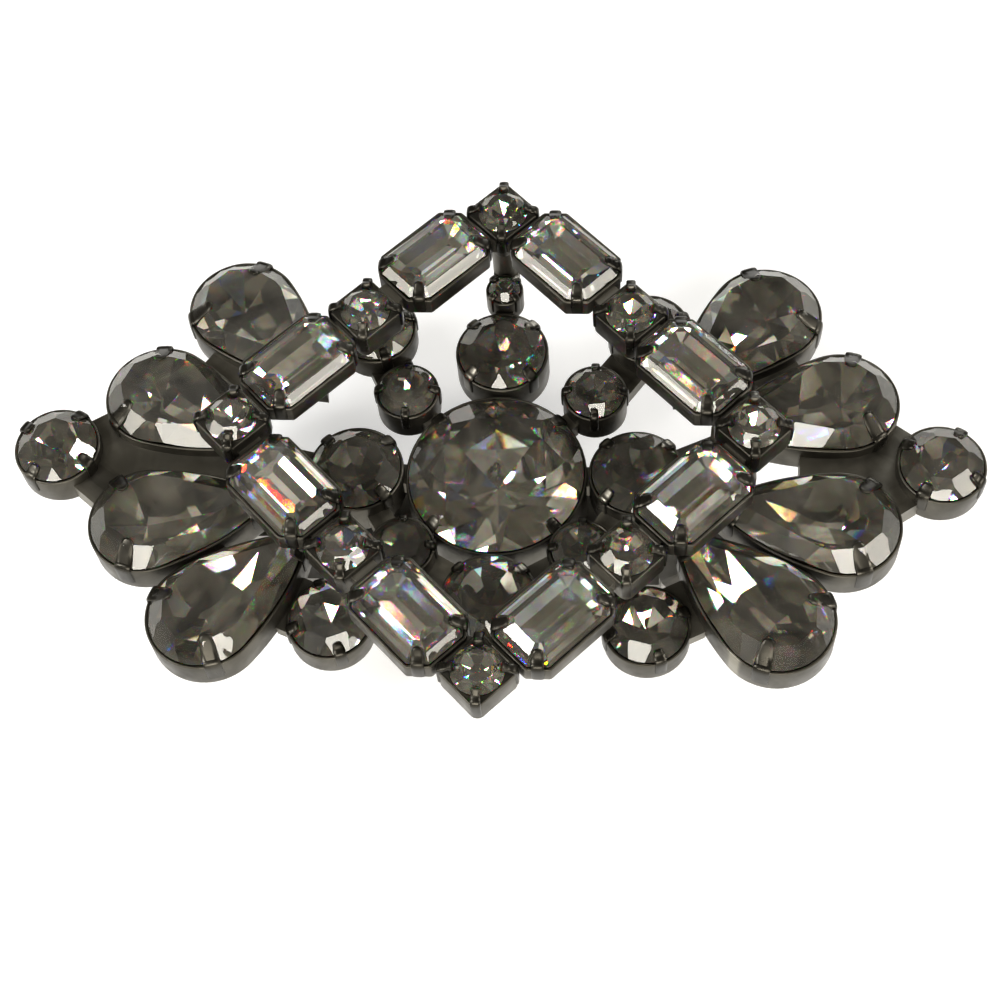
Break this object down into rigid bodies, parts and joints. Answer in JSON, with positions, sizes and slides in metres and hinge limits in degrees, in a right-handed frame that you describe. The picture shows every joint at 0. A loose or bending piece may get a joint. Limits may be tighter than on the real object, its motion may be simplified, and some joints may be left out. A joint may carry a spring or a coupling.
{
  "type": "rhinestone hair clip",
  "caption": "Long ornament of clear cut-glass stones in prong cups with a raised square frame, on a hinged barrette back with a pinch catch.",
  "frame": {"origin": "centre of the ornament's outline, in the plane of the clasp arm's underside", "axes": "X along the clip from the hinge end to the catch end, +Z out of the stones' face, Y across"},
  "size_m": [0.0661, 0.0396, 0.0215],
  "materials": {
    "cut_glass": "clear faceted glass, foiled behind",
    "cup_metal": "tarnished silver-tone plate, satin",
    "solder": "dull grey solder",
    "clasp_steel": "plated spring steel, lightly scratched"
  },
  "bodies": {
    "clasp": {"clasp_arm": "clasp_steel"},
    "ornament": {"accent_cups": "cup_metal", "accent_stones": "cut_glass", "baguette_bottom_left_outer": "cut_glass", "baguette_bottom_left_side": "cut_glass", "baguette_bottom_right_outer": "cut_glass", "baguette_bottom_right_side": "cut_glass", "baguette_cup_bottom_left_outer": "cup_metal", "baguette_cup_bottom_left_side": "cup_metal", "baguette_cup_bottom_right_outer": "cup_metal", "baguette_cup_bottom_right_side": "cup_metal", "baguette_cup_top_left_outer": "cup_metal", "baguette_cup_top_left_side": "cup_metal", "baguette_cup_top_right_outer": "cup_metal", "baguette_cup_top_right_side": "cup_metal", "baguette_top_left_outer": "cut_glass", "baguette_top_left_side": "cut_glass", "baguette_top_right_outer": "cut_glass", "baguette_top_right_side": "cut_glass", "base_bar": "clasp_steel", "base_posts": "cup_metal", "bead_cups": "cup_metal", "bead_stones": "cut_glass", "centre_cup": "cup_metal", "centre_stone": "cut_glass", "frame_links": "solder", "frame_round_stones": "cut_glass", "frame_square_cups": "cup_metal", "hinge_pin": "clasp_steel", "inner_round_cups": "cup_metal", "inner_round_stones": "cut_glass", "outer_round_cups": "cup_metal", "outer_round_stones": "cut_glass", "pear_cup_left_a": "cup_metal", "pear_cup_left_b": "cup_metal", "pear_cup_left_c": "cup_metal", "pear_cup_left_d": "cup_metal", "pear_cup_right_a": "cup_metal", "pear_cup_right_b": "cup_metal", "pear_cup_right_c": "cup_metal", "pear_cup_right_d": "cup_metal", "pear_stone_left_a": "cut_glass", "pear_stone_left_b": "cut_glass", "pear_stone_left_c": "cut_glass", "pear_stone_left_d": "cut_glass", "pear_stone_right_a": "cut_glass", "pear_stone_right_b": "cut_glass", "pear_stone_right_c": "cut_glass", "pear_stone_right_d": "cut_glass", "riser_posts": "cup_metal", "solder_necks_centre": "solder", "solder_necks_left": "solder", "solder_necks_right": "solder", "tension_bow": "clasp_steel", "tip_cup_left": "cup_metal", "tip_cup_right": "cup_metal", "tip_stone_left": "cut_glass", "tip_stone_right": "cut_glass"},
    "catch_front": {"catch_tab_front": "clasp_steel"},
    "catch_back": {"catch_tab_back": "clasp_steel"}
  },
  "joints": [
    {"name": "clasp_hinge", "type": "hinge", "parent": "clasp", "child": "ornament", "pos_m": [-0.02, 0.0005, 0.0032], "axis": [0, -1, 0], "range_deg": [0, 45]},
    {"name": "catch_front_squeeze", "type": "hinge", "parent": "ornament", "child": "catch_front", "pos_m": [0.0142, -0.00135, 0.0072], "axis": [1, 0, 0], "range_deg": [0, 8], "stiffness_Nm_per_rad": 0.05},
    {"name": "catch_back_squeeze", "type": "hinge", "parent": "ornament", "child": "catch_back", "pos_m": [0.0142, 0.00235, 0.0072], "axis": [-1, 0, 0], "range_deg": [0, 8], "stiffness_Nm_per_rad": 0.05}
  ]
}
